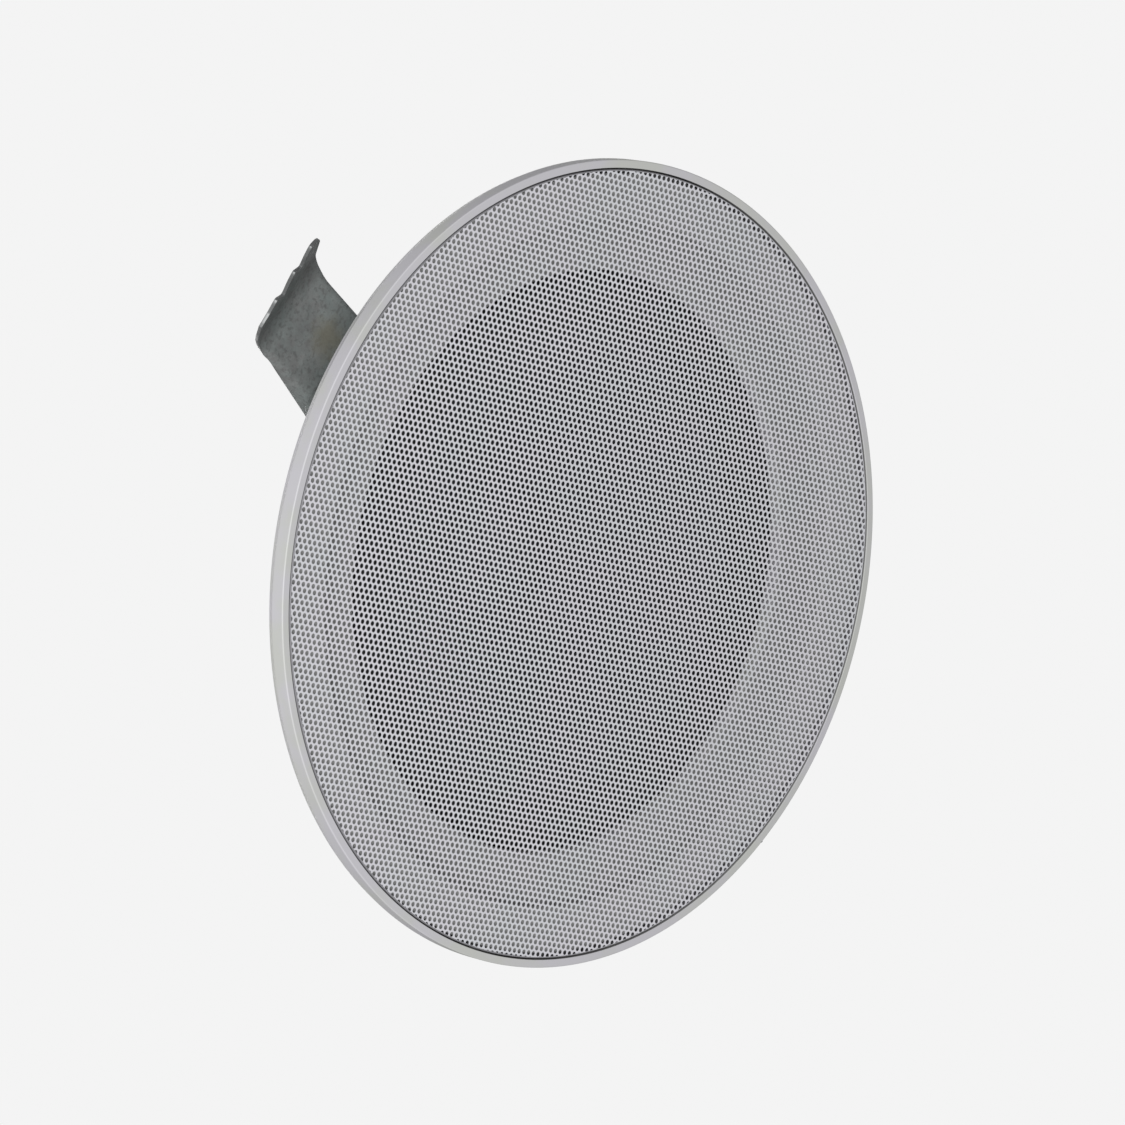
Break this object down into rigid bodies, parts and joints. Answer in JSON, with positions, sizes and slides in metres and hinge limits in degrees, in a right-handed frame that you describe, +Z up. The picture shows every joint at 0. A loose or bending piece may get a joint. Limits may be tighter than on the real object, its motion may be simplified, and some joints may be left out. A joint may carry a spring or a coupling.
{
  "type": "in-ceiling speaker",
  "caption": "Round in-ceiling loudspeaker with a full-face perforated grille, a slim rim and sprung toothed clamp arms, for flush fitting in a ceiling void.",
  "frame": {"origin": "centre of the rim's back face, where it meets the ceiling's surface", "axes": "+Z up into the ceiling void along the speaker's axis, +X along the first clamp arm, the grille faces -Z"},
  "size_m": [0.228, 0.2, 0.0704],
  "materials": {
    "baffle_plastic": "fine-grained off-white moulding",
    "grille_steel": "off-white powder coat",
    "gasket_foam": "black foam tape",
    "basket_steel": "black paint",
    "surround_cloth": "black coated cloth",
    "cone_paper": "black paper pulp",
    "former_foil": "thin foil",
    "copper_winding": "enamelled copper wire",
    "spider_cloth": "resin-dipped tan cloth",
    "plated_steel": "zinc-plated steel",
    "ferrite": "ground grey-black ferrite",
    "galvanised_steel": "spangled zinc, slightly stained",
    "zinc_screws": "bright zinc plate",
    "spring_steel": "oiled spring wire",
    "lamination_steel": "stacked laminations",
    "winding_tape": "yellow tape on a nylon bobbin",
    "block_plastic": "black nylon",
    "tag_board": "brown paper laminate",
    "tinned_brass": "tinned",
    "lead_sleeve": "insulated hook-up wire"
  },
  "bodies": {
    "frame": {"back_plate": "plated_steel", "block_screw": "zinc_screws", "bracket_screws": "zinc_screws", "clamp_bracket_left": "galvanised_steel", "clamp_bracket_right": "galvanised_steel", "clamp_spring_left": "spring_steel", "clamp_spring_right": "spring_steel", "component_plate": "galvanised_steel", "component_plate_screws": "zinc_screws", "driver_basket": "basket_steel", "driver_gasket": "gasket_foam", "driver_screws": "zinc_screws", "flexible_leads": "tinned_brass", "frame_rivets": "zinc_screws", "front_baffle": "baffle_plastic", "hinge_pin_left": "zinc_screws", "hinge_pin_right": "zinc_screws", "line_leads": "lead_sleeve", "magnet": "ferrite", "perforated_grille": "grille_steel", "pin_clip_left": "spring_steel", "pin_clip_right": "spring_steel", "plate_rivets": "zinc_screws", "solder_tags": "tinned_brass", "speaker_leads": "lead_sleeve", "spider": "spider_cloth", "surround": "surround_cloth", "tag_rivet": "zinc_screws", "tag_strip": "tag_board", "terminal_block": "block_plastic", "terminal_screws": "zinc_screws", "top_plate": "plated_steel", "transformer_bobbin": "winding_tape", "transformer_core": "lamination_steel", "transformer_frame": "galvanised_steel"},
    "cone_assembly": {"cone": "cone_paper", "dust_cap": "cone_paper", "voice_coil_former": "former_foil", "voice_coil_winding": "copper_winding"},
    "clamp_right": {"clamp_arm_right": "galvanised_steel"},
    "clamp_left": {"clamp_arm_left": "galvanised_steel"}
  },
  "joints": [
    {"name": "cone_travel", "type": "slide", "parent": "frame", "child": "cone_assembly", "axis": [0, 0, 1], "range_m": [-0.003, 0.003], "stiffness_N_per_m": 2000, "deforming": ["surround", "spider", "flexible_leads"]},
    {"name": "clamp_right_fold", "type": "hinge", "parent": "frame", "child": "clamp_right", "pos_m": [0.0609, 0, 0.0306], "axis": [0, -1, 0], "range_deg": [0, 95], "stiffness_Nm_per_rad": 0.12, "springref_deg": -45.84, "deforming": ["clamp_spring_right"]},
    {"name": "clamp_left_fold", "type": "hinge", "parent": "frame", "child": "clamp_left", "pos_m": [-0.0609, 0, 0.0306], "axis": [0, 1, 0], "range_deg": [0, 95], "stiffness_Nm_per_rad": 0.12, "springref_deg": -45.84, "deforming": ["clamp_spring_left"]}
  ]
}
